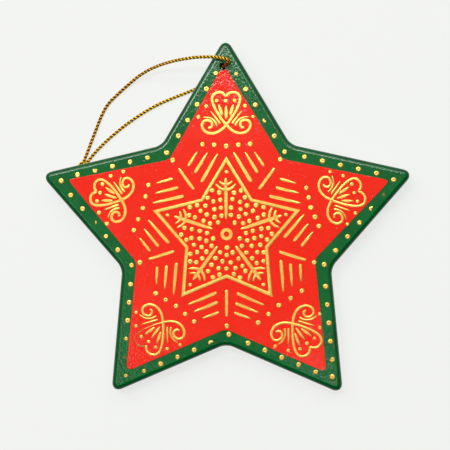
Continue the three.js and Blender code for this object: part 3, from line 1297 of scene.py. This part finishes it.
@dataclass
class LineStar:
    """The line that draws a smaller star, and the rays and drops that stand round it."""

    drift: HandDrift
    dots: DotPainter
    outline: StarOutline = StarOutline(21.3, 12.0)
    width: float = 0.93
    height: float = 0.2
    shoulder: float = 0.18
    shoulder_steps: int = 3
    ray_widths: tuple[float, ...] = (0.84, 0.93, 0.9, 0.8, 0.68, 0.5)
    ray_weights: tuple[float, ...] = (1.0, 0.95, 0.84)
    notch_widths: tuple[float, ...] = (0.78, 0.84, 0.84, 0.8, 0.66)
    edge_rays: tuple[tuple[Point, Point], ...] = (
        ((6.67, 14.43), (2.25, 21.9)),
        ((8.48, 16.6), (4.92, 22.3)),
        ((10.33, 18.5), (7.66, 22.55)),
    )
    edge_drifts: tuple[dict[Side, float], ...] = (
        {Side.RIGHT: 0.0, Side.LEFT: 0.2},
        {Side.RIGHT: -0.8, Side.LEFT: -0.5},
        {Side.RIGHT: 0.7, Side.LEFT: 1.1},
        {Side.RIGHT: 0.0, Side.LEFT: 0.5},
        {Side.RIGHT: -0.3, Side.LEFT: 0.7},
    )
    notch_ray: tuple[Point, Point] = ((0, 15.1), (0, 22.6))
    arc_dots: tuple[Point, ...] = ((0, 24.1), (3.3, 24.4), (6.53, 24.6))
    arc_spreads: tuple[float, ...] = (1.0, 0.84, 1.13, 1.0, 1.0)
    arc_slides: tuple[float, ...] = (0.0, 0.32, -0.1, -0.28, -0.29)
    notch_dot: Point = (0, 25.1)
    dot_radius: float = 0.7

    def build(self) -> list[GoldPiece]:
        """Models the line star with its rays and drops.

        Returns:
            Its pieces.
        """
        return [self._line(), *self._edge_rays(), *self._notch_rays(), self._drops()]

    def _line(self) -> GoldPiece:
        """Models the line as a raised band with rounded shoulders.

        Returns:
            The band.
        """
        line = self.outline.flat("gold_line_star")
        with edit_mode(line, MeshPart.FACE):
            bpy.ops.mesh.select_all(action="SELECT")
            bpy.ops.mesh.inset(thickness=self.width, use_even_offset=True)
            bpy.ops.mesh.delete(type="FACE")
        raise_solid(line, self.height)
        round_edges(line, self._is_shoulder, self.shoulder, self.shoulder_steps)
        set_down(line, ON_RED)
        return GoldPiece(line, ("line_star",))

    def _is_shoulder(self, first: Vector, second: Vector) -> bool:
        """Tells whether an edge of the band's top runs from a tip to a notch."""
        is_top = min(first.z, second.z) > self.height / 2
        return is_top and is_near_tip(first) != is_near_tip(second)

    def _edge_rays(self) -> list[GoldPiece]:
        """Models the rays beside the star's edges, in bunches that drift as the hand did.

        Returns:
            The rays.
        """
        pieces = []
        for number, (inner, outer) in enumerate(self.edge_rays, start=1):
            line = PaintLine((inner, outer), self.ray_widths).weighted(self.ray_weights[number - 1])
            middle = ((inner[0] + outer[0]) / 2, (inner[1] + outer[1]) / 2)
            models = {Side.RIGHT: line.bead("ray_model"), Side.LEFT: line.mirrored().bead("ray_model")}
            for arm, drifts in enumerate(self.edge_drifts, start=1):
                for side, model in models.items():
                    shift = Matrix.Translation((side.value * drifts[side], 0, GOLD_LEVEL))
                    drift = self.drift.about((side.value * middle[0], middle[1]))
                    node = f"ray_{arm}_{side.name.lower()}_{number}"
                    place = Matrix.Rotation(arm_turn(arm), 4, "Z") @ shift @ drift
                    pieces.append(GoldPiece(copied(model, f"gold_{node}", place), (node,)))
            scrap(*models.values())
        return pieces

    def _notch_rays(self) -> list[GoldPiece]:
        """Models the single ray out of each notch of the line star."""
        model = PaintLine(self.notch_ray, self.notch_widths).bead("ray_model")
        return in_every_arm(model, "ray_{}_notch", self.drift, self.notch_ray[0], notch_turn)

    def _drops(self) -> GoldPiece:
        """Models the arcs of drops across the arms and the single drops in the notches.

        Returns:
            All of them as one piece.
        """
        drops = []
        for arm, (spread, slide) in enumerate(zip(self.arc_spreads, self.arc_slides), start=1):
            for x, y in both_sides(self.arc_dots):
                drops.append(Drop(turned((x * spread + slide, y), arm_turn(arm)), self.dot_radius))
            drops.append(Drop(turned(self.notch_dot, notch_turn(arm)), self.dot_radius))
        return GoldPiece(self.dots.scatter("gold_arc_dots", drops, GOLD_LEVEL))


@dataclass
class Hearts:
    """The heart in each arm, whose two lines cross and end in scrolls, with petals and drops."""

    drift: HandDrift
    dots: DotPainter
    half: tuple[Point, ...] = (
        (0, 37.8), (0.75, 38.75), (2.1, 39.1), (3.5, 38.4), (3.85, 37.2), (3.1, 34.8), (1.6, 32.3),
        (0, 30.2), (-1.9, 28.5), (-3.95, 27.9), (-5.9, 28.6), (-6.65, 30.1), (-6.2, 31.2), (-5.2, 31.5),
        (-4.1, 31.1), (-3.8, 30.3), (-4.2, 29.5), (-5, 29.4),
    )
    line_widths: tuple[float, ...] = (0.67, 0.67, 0.67, 0.69, 0.69, 0.67, 0.65)
    starved_widths: tuple[float, ...] = (0.4, 0.16, 0.24, 0.58, 0.69, 0.67, 0.65)
    starved_arm: int = 4
    starved_from: float = 34.2
    starved_film: float = 0.75
    petals: tuple[PaintLine, ...] = (
        PaintLine(((4.29, 34.03), (1.58, 30.46)), (0.35, 0.5, 0.58, 0.62)),
        PaintLine(
            ((6.39, 32.31), (5.2, 32.3), (4.05, 31.94), (3.1, 31.1), (2.44, 29.85)), (0.35, 0.5, 0.56, 0.62)
        ),
        PaintLine(((2.03, 35.8), (1.0, 32.55)), (0.36, 0.68, 0.82, 0.75, 0.42)),
    )
    middle_petal: PaintLine = PaintLine(((0, 35.5), (0, 31.6)), (0.32, 0.62, 0.78, 0.74, 0.42))
    heart_dots: tuple[Point, ...] = ((0, 36.7), (2.45, 36.8), (5.3, 35.3), (7.5, 32.3))
    dot_radius: float = 0.52
    centre: Point = (0, 33.5)
    weights: tuple[float, ...] = (1.12, 1.0, 0.96, 0.97, 1.16)
    shifts: tuple[Point, ...] = ((-0.14, -0.23), (-0.1, -0.23), (0.28, -0.05), (0.06, 0.3), (0.03, 0.12))

    def build(self) -> list[GoldPiece]:
        """Models the hearts.

        Returns:
            Their pieces.
        """
        pieces, drops = [], []
        for arm, (shift, weight) in enumerate(zip(self.shifts, self.weights), start=1):
            turn = Matrix.Translation((*shift, GOLD_LEVEL)) @ Matrix.Rotation(arm_turn(arm), 4, "Z")
            place = turn @ self.drift.about(self.centre)
            heart, petals = self._scroll(arm, weight), self._petals(arm, weight)
            for piece in (heart, petals):
                set_down(piece, place)
            pieces += [GoldPiece(heart, (f"heart_scroll_{arm}",)), GoldPiece(petals)]
            for point in both_sides(self.heart_dots):
                drops.append(Drop(moved(turned(point, arm_turn(arm)), shift), self.dot_radius * weight))
        return [*pieces, GoldPiece(self.dots.scatter("gold_heart_dots", drops, GOLD_LEVEL))]

    def _scroll(self, arm: int, weight: float) -> Object:
        """Models the two lines of one arm's heart with its arm up.

        Args:
            arm: The arm.
            weight: The weight of the hand that drew it.

        Returns:
            The two lines.
        """
        line = PaintLine(self.half, self.line_widths).weighted(weight)
        right = self._starved() if arm == self.starved_arm else line.bead("heart_right")
        return joined([right, line.mirrored().bead("heart_left")], f"gold_heart_scroll_{arm}")

    def _petals(self, arm: int, weight: float) -> Object:
        """Models the petals of one arm's heart with its arm up.

        Args:
            arm: The arm.
            weight: The weight of the hand that drew them.

        Returns:
            The petals.
        """
        lines = [*self.petals, *(petal.mirrored() for petal in self.petals), self.middle_petal]
        return joined([line.weighted(weight).bead("petal") for line in lines], f"gold_heart_petals_{arm}")

    def _starved(self) -> Object:
        """Models the heart's right line where the paint ran short in its lobe.

        Returns:
            The line.
        """
        line = PaintLine(self.half, self.starved_widths).bead("heart_right")
        short = [place.co.x > 0 and place.co.y > self.starved_from for place in line.data.vertices]
        set_values(line, GoldPaintFinish.FILM_AND_SHADE, [self.starved_film * is_short for is_short in short])
        return line


@dataclass
class BorderDots:
    """The row of drops along the green border, some of them rubbed off."""

    dots: DotPainter
    first: Point = (2.85, 44.05)
    step: Point = (2.59, -4.275)
    count: int = 5
    tip_dot: Point = (0, 48.4)
    notch_dot: Point = (0, 27.7)
    radius: float = 0.73
    worn: dict[tuple[int, Side, int], tuple[Wear, float]] = field(
        default_factory=lambda: {
            (1, Side.RIGHT, 0): (Wear.RUBBED, 0), (1, Side.RIGHT, 3): (Wear.CHIPPED, 45),
            (2, Side.RIGHT, 0): (Wear.FAINT, 0), (2, Side.RIGHT, 1): (Wear.CHIPPED, -20),
            (2, Side.RIGHT, 2): (Wear.NICKED, 0), (3, Side.LEFT, 0): (Wear.NICKED, 150),
            (3, Side.RIGHT, 1): (Wear.NICKED, -45), (3, Side.RIGHT, 3): (Wear.NICKED, -110),
            (3, Side.RIGHT, 4): (Wear.NICKED, 200), (4, Side.RIGHT, 0): (Wear.FAINT, 0),
            (4, Side.RIGHT, 1): (Wear.RUBBED, 0), (4, Side.LEFT, 0): (Wear.RUBBED, 0),
            (4, Side.LEFT, 4): (Wear.CHIPPED, -60), (5, Side.RIGHT, 1): (Wear.NICKED, 90),
            (5, Side.LEFT, 1): (Wear.NICKED, 230), (5, Side.LEFT, 2): (Wear.SLIVER, 180),
            (5, Side.LEFT, 3): (Wear.NICKED, -30),
        }
    )
    worn_tip: int = 4
    shifts: dict[tuple[int, Side], Point] = field(
        default_factory=lambda: {
            (1, Side.RIGHT): (-0.06, -0.19), (1, Side.LEFT): (0.04, 0.02), (2, Side.RIGHT): (0.0, -0.3),
            (2, Side.LEFT): (-0.17, 0.11), (3, Side.RIGHT): (0.61, -0.23),
            (3, Side.LEFT): (0.45, -0.25), (4, Side.RIGHT): (0.05, 0.32), (4, Side.LEFT): (0.77, -0.17),
            (5, Side.RIGHT): (-0.14, 0.15), (5, Side.LEFT): (-0.28, -0.03),
        }
    )
    tip_shifts: tuple[Point | None, ...] = (None, (-0.56, -0.34), (0.27, 0.29), (0.55, 0.36), (0.34, -0.13))
    notch_shifts: tuple[Point, ...] = ((-0.35, 0), (0.27, 0.22), (0.55, 0.29), (0.14, 0.08), (-0.14, -0.06))

    def build(self) -> list[GoldPiece]:
        """Models the drops.

        Returns:
            One piece with all of them.
        """
        drops = []
        for arm, (tip_shift, notch_shift) in enumerate(zip(self.tip_shifts, self.notch_shifts), start=1):
            for side in Side:
                for i in range(self.count):
                    place = moved(turned(self._in_row(side, i), arm_turn(arm)), self.shifts[arm, side])
                    wear, chip_deg = self.worn.get((arm, side, i), (Wear.WHOLE, 0))
                    drops.append(Drop(place, self.radius, wear, chip_deg))
            if tip_shift:
                wear = Wear.RUBBED if arm == self.worn_tip else Wear.WHOLE
                place = moved(turned(self.tip_dot, arm_turn(arm)), tip_shift)
                drops.append(Drop(place, self.radius, wear))
            place = moved(turned(self.notch_dot, notch_turn(arm)), notch_shift)
            drops.append(Drop(place, self.radius))
        return [GoldPiece(self.dots.scatter("gold_border_dots", drops, FACE_LEVEL))]

    def _in_row(self, side: Side, number: int) -> Point:
        """Gives the place of a drop in the row on one side of the arm that is up."""
        x, y = moved(self.first, (number * self.step[0], number * self.step[1]))
        return side.value * x, y


@dataclass
class TwistedCord:
    """The two-ply cord: one strand over the face, one behind the board, and the knot of their ends.

    The strands' points are [x, y from the star's centre, height above the table].
    """

    # Each ply's own tone, with painted shade where the cord comes out of the hole.
    PLY = "ply_tone"
    # How far each vertex stands from the cord's middle, which sets the painted shade of the grooves.
    CROWN = "crown"

    diameter: float = 1.0
    ply_count: int = 2
    ply_radius: float = 0.27
    ply_reach: float = 0.5
    lay_length: float = 2.1
    pitch: float = 0.12
    roundness: int = 2
    front_route: tuple[Place, ...] = (
        (-0.65, 45.77, 5.15), (-0.64, 45.73, 6.6), (-0.36, 45.78, 8.05), (0.31, 46.21, 9.0),
        (0.84, 46.64, 9.8), (1.13, 46.9, 10.4), (1.02, 47.09, 10.85), (0.63, 47.28, 11.0),
        (-0.01, 47.52, 10.9), (-0.95, 47.77, 10.45), (-2.11, 48.0, 9.95), (-3.8, 48.17, 9.4),
        (-5.9, 48.26, 8.9), (-8.66, 48.2, 8.35), (-11.09, 47.97, 7.75), (-13.57, 47.7, 6.85),
        (-16.03, 47.29, 5.75), (-18.46, 46.76, 4.5), (-21.75, 45.67, 2.85), (-24.9, 44.0, 1.55),
        (-28.12, 41.53, 0.8), (-31.18, 38.83, 0.56), (-33.11, 36.91, 0.52), (-34.27, 35.28, 0.52),
        (-35.21, 33.46, 0.52), (-35.97, 31.69, 0.52), (-37.02, 28.96, 0.52), (-38.18, 26.01, 0.52),
        (-39.31, 23.0, 0.52), (-40.15, 20.88, 0.6), (-40.52, 19.95, 0.8),
    )
    back_route: tuple[Place, ...] = (
        (-0.65, 45.78, 4.85), (-0.65, 45.81, 3.6), (-0.72, 45.79, 2.6), (-1.1, 45.55, 1.45),
        (-1.85, 45.02, 0.75), (-3.0, 44.2, 0.56), (-5.4, 42.5, 0.52), (-7.25, 41.3, 0.52),
        (-9.08, 40.41, 0.52), (-11.5, 39.45, 0.52), (-13.98, 38.49, 0.52), (-16.43, 37.53, 0.52),
        (-19.05, 36.4, 0.52), (-21.9, 34.92, 0.52), (-25.04, 32.98, 0.52), (-28.06, 30.93, 0.52),
        (-31.09, 28.57, 0.52), (-34.15, 25.92, 0.52), (-37.09, 22.96, 0.52), (-38.97, 20.64, 0.66),
        (-39.6, 19.86, 0.85),
    )
    front_length: float = 0.063
    back_length: float = 0.049
    front_mouth: Place = (-0.36, 45.78, 8.05)
    back_mouth: Place = (-0.9, 45.69, 2.05)
    knot_centre: Place = (-40.7, 19.7, 0.87)
    knot_reach: Place = (0.98, 0.42, 0.4)
    knot_turn_deg: float = 12.8
    knot_ply_share: float = 0.8
    knot_points: int = 24
    dark_ply: float = 0.25
    # Painted shade on the cord where it comes out of the hole.
    hole_shade_reach: float = 5.0
    hole_shade_fade: float = 1.4
    # The strands get browner far from the hole.
    front_far_brown: float = 0.6
    back_far_brown: float = 0.38
    far_brown_reach: float = 34.0

    def build(self, place: RestingPlace, finish: Material) -> None:
        """Args:
            place: Where the ornament lies.
            finish: The cord's material.
        """
        front = Route([Vector(point) for point in self.front_route])
        back = Route([Vector(point) for point in self.back_route])
        knot = Route(self._knot_points())
        strands = {
            "cord_front_strand": self._rope("gold_cord_front", front, self.ply_radius, self.front_far_brown),
            "cord_back_strand": self._rope("gold_cord_back", back, self.ply_radius, self.back_far_brown),
            "cord_knot": self._rope("gold_cord_knot", knot, self.ply_radius * self.knot_ply_share),
        }
        for node, piece in strands.items():
            settle(piece, place.table, finish, Body.LOOP, (node,))
        for node, route, length, mouth in (
            ("cord_front_strand", front, self.front_length, self.front_mouth),
            ("cord_back_strand", back, self.back_length, self.back_mouth),
        ):
            [place.table @ point for point in route.spread(self.pitch)]

    def _knot_points(self) -> list[Vector]:
        """Gives the centreline of an overhand knot that is pulled tight.

        Returns:
            Points along it, from one end to the other.
        """
        reach = Vector(self.knot_reach)
        turn = Matrix.Rotation(math.radians(self.knot_turn_deg), 3, "Z")
        points = []
        for i in range(self.knot_points):
            t = 2 * math.pi * i / self.knot_points
            across = (math.cos(t) - 2 * math.cos(2 * t), math.sin(t) + 2 * math.sin(2 * t))
            loop = Vector((*across, 3 * math.sin(3 * t)))
            points.append(Vector(self.knot_centre) + turn @ (loop * reach / 3))
        return points

    def _rope(self, name: str, route: Route, ply_radius: float, far_brown: float | None = None) -> Object:
        """Twists plies round a route.

        Args:
            name: The piece's name.
            route: The cord's centreline.
            ply_radius: The radius of one ply.
            far_brown: How brown it gets far from the hole that it starts in, if it starts there.

        Returns:
            The rope, with each ply's tone and each crown's height as attributes.
        """
        middle = route.spread(self.pitch)
        reach = self.ply_reach * ply_radius / self.ply_radius
        plies = []
        for number in range(self.ply_count):
            start = 2 * math.pi * number / self.ply_count
            points = self._helix(middle, route.length, reach - ply_radius, start)
            ply = tube(name, points, [ply_radius] * len(points), self.roundness)
            self._mark(ply, middle, reach, self.dark_ply * number, far_brown)
            plies.append(ply)
        return joined(plies, name)

    def _helix(self, middle: Sequence[Vector], length: float, away: float, start: float) -> list[Vector]:
        """Winds a line round a centreline.

        Args:
            middle: The centreline's points.
            length: The centreline's length.
            away: The line's distance from it.
            start: The angle at which the line starts.

        Returns:
            The line's points.
        """
        points = []
        along = (middle[1] - middle[0]).normalized()
        side = along.orthogonal().normalized()
        for i, place in enumerate(middle):
            ahead = middle[min(i + 1, len(middle) - 1)] - middle[max(i - 1, 0)]
            side.rotate(along.rotation_difference(ahead))
            along = ahead.normalized()
            angle = start + 2 * math.pi * length * i / (len(middle) - 1) / self.lay_length
            points.append(place + away * (math.cos(angle) * side + math.sin(angle) * along.cross(side)))
        return points

    def _mark(
        self, ply: Object, middle: Sequence[Vector], reach: float, tone: float, far_brown: float | None
    ) -> None:
        """Notes a ply's tone, with painted shade by the hole, and how far each vertex stands from the cord's
        middle.

        Args:
            ply: The ply.
            middle: The points of the cord's middle.
            reach: The farthest that a ply stands from the middle.
            tone: From 0 for a bright ply to 1 for a brown one.
            far_brown: How brown it gets far from the hole that it starts in, if it starts there.
        """
        tree = KDTree(len(middle))
        for i, place in enumerate(middle):
            tree.insert(place, i)
        tree.balance()
        nearest = [tree.find(vertex.co) for vertex in ply.data.vertices]
        crowns = [distance / reach for _, _, distance in nearest]
        tones = [self._tone(i * self.pitch, tone, far_brown) for _, i, _ in nearest]
        set_values(ply, self.PLY, tones)
        set_values(ply, self.CROWN, crowns)

    def _tone(self, distance: float, tone: float, far_brown: float | None) -> float:
        """Gives a ply's tone at a distance from its start, with the painted shade where it comes out of the
        hole.

        Args:
            distance: The distance.
            tone: The ply's own tone.
            far_brown: How brown it gets far from the hole that it starts in, if it starts there.

        Returns:
            From 0 for bright to 1 for brown, which by the hole stands for painted shade.
        """
        if far_brown is None:
            return tone
        # Painted shade: the cord is browned where it comes out of the hole.
        hole_shade = min(1.0, 1 - (distance - self.hole_shade_reach) / self.hole_shade_fade)
        return max(tone, hole_shade, far_brown * min(1.0, distance / self.far_brown_reach))


@dataclass(frozen=True)
class Softbox:
    """A rectangular lamp with a soft face, tipped about X towards the star."""

    name: str
    place_mm: Place
    size_mm: Point
    watts: float

    def build(self) -> None:
        """Sets the lamp up."""
        bpy.ops.object.light_add(type="AREA", location=Vector(self.place_mm) * MM)
        lamp = bpy.context.object
        lamp.name = self.name
        _, y, z = self.place_mm
        lamp.rotation_euler = (-math.atan2(y, z), 0, 0)
        lamp.data.shape = "RECTANGLE"
        lamp.data.size = self.size_mm[0] * MM
        lamp.data.size_y = self.size_mm[1] * MM
        lamp.data.energy = self.watts


@dataclass
class Studio:
    """The white table, the lamps, the pale room and the camera above the star."""

    camera_place_mm: Place = (28.9, -14.2, 400.0)
    camera_turn_deg: Place = (1.691, 4.236, -0.075)
    lens_mm: float = 115.34
    sensor_mm: float = 36.0
    table_size: float = 40.0
    table_level: float = -0.00002
    room_colour: str = "#ffffff"
    room_levels: tuple[Point, ...] = ((0.0, 0.05), (0.4, 0.06), (0.72, 0.2), (0.9, 0.58), (0.975, 0.4))
    room_slope: float = 3.2
    lamps: tuple[Softbox, ...] = (
        Softbox("top_softbox", (-250.0, 290.0, 1000.0), (800.0, 190.0), 5.45),
        Softbox("window", (-200.0, 640.0, 800.0), (1500.0, 200.0), 3.55),
        Softbox("left_softbox", (-330.0, -200.0, 1000.0), (240.0, 200.0), 0.4),
        Softbox("bottom_softbox", (75.0, -235.0, 1000.0), (80.0, 60.0), 0.22),
    )

    def build(self) -> None:
        """Sets up the camera, the table, the room and the lamps."""
        self._camera()
        self._table()
        self._room()
        for lamp in self.lamps:
            lamp.build()
        bpy.context.scene.view_settings.view_transform = "Standard"

    def _camera(self) -> None:
        """Sets the camera where the photograph was taken from."""
        turn = [math.radians(angle) for angle in self.camera_turn_deg]
        bpy.ops.object.camera_add(location=Vector(self.camera_place_mm) * MM, rotation=turn)
        camera = bpy.context.object
        camera.data.sensor_width = self.sensor_mm
        camera.data.lens = self.lens_mm
        camera.data.clip_start = MM
        bpy.context.scene.camera = camera

    def _table(self) -> None:
        """Lays the table top."""
        bpy.ops.mesh.primitive_plane_add(size=self.table_size, location=(0, 0, self.table_level))
        table = bpy.context.object
        table.name = "table_top"
        table.data.materials.append(TableFinish().build())

    def _room(self) -> None:
        """Lights the room, more from the top, but for the dark place overhead where a camera is held."""
        world = bpy.data.worlds.new("pale_room")
        bpy.context.scene.world = world
        world.use_nodes = True
        tree = world.node_tree
        towards = add_node(tree, "ShaderNodeTexCoord").outputs["Generated"]
        split = add_node(tree, "ShaderNodeSeparateXYZ", {0: towards}).outputs
        level = add_node(tree, "ShaderNodeValToRGB", {0: split[2]})
        stops = level.color_ramp.elements
        for height, _ in self.room_levels[1:-1]:
            stops.new(height)
        for stop, (height, strength) in zip(stops, self.room_levels):
            stop.position = height
            stop.color = (strength, strength, strength, 1.0)
        lean = add_math(tree, "MULTIPLY_ADD", split[1], self.room_slope, 1.0)
        strength = add_math(tree, "MULTIPLY", level.outputs[0], lean, clamp=True)
        feed(tree, tree.nodes["Background"], {"Color": self.room_colour, "Strength": strength})


def settle(
    piece: Object, place: Matrix, finish: Material, body: Body, nodes: Sequence[str] = ()
) -> None:
    """Sets a modelled piece down, dresses it and fixes it to its body.

    Args:
        piece: The piece.
        place: From the frame that it was modelled in to where it lies.
        finish: Its material.
        body: The body that it moves with.
        nodes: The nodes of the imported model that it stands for.
    """
    set_down(piece, place)
    smooth(piece)
    piece.data.materials.clear()
    piece.data.materials.append(finish)
    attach(piece, body.value)
    if nodes:
        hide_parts(*nodes)
    log.info("%s: %d faces, moves with %s", piece.name, len(piece.data.polygons), body.value)


def main() -> None:
    """Builds the studio and every piece of the ornament."""
    logging.basicConfig(level=logging.INFO, format="%(message)s")
    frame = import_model()
    place = RestingPlace.of_record(frame["record"])
    Studio().build()
    TwistedCord().build(place, GoldCordFinish().build())

    hole = CordHole()
    green = EnamelFinish("gloss_green_enamel", "#00692b", "#005c25", roughness=0.065, relief_mm=0.046)
    red = EnamelFinish("gloss_red_enamel", "#ff2506", "#fa2204", roughness=0.075, relief_mm=0.05)
    settle(StarBoard(hole).build(), place.board, green.build(), Body.BOARD, ("star_board",))
    settle(RedCoat(hole).build(), place.board, red.build(), Body.BOARD, ("red_field",))

    gold = GoldPaintFinish().build()
    drift = HandDrift(seed=11)
    dots = DotPainter(drift)
    for motif in (Snowflake(drift, dots), LineStar(drift, dots), Hearts(drift, dots), BorderDots(dots)):
        for part in motif.build():
            settle(part.piece, place.board @ PATTERN_SHIFT, gold, Body.BOARD, part.nodes)


if __name__ == "__main__":
    main()
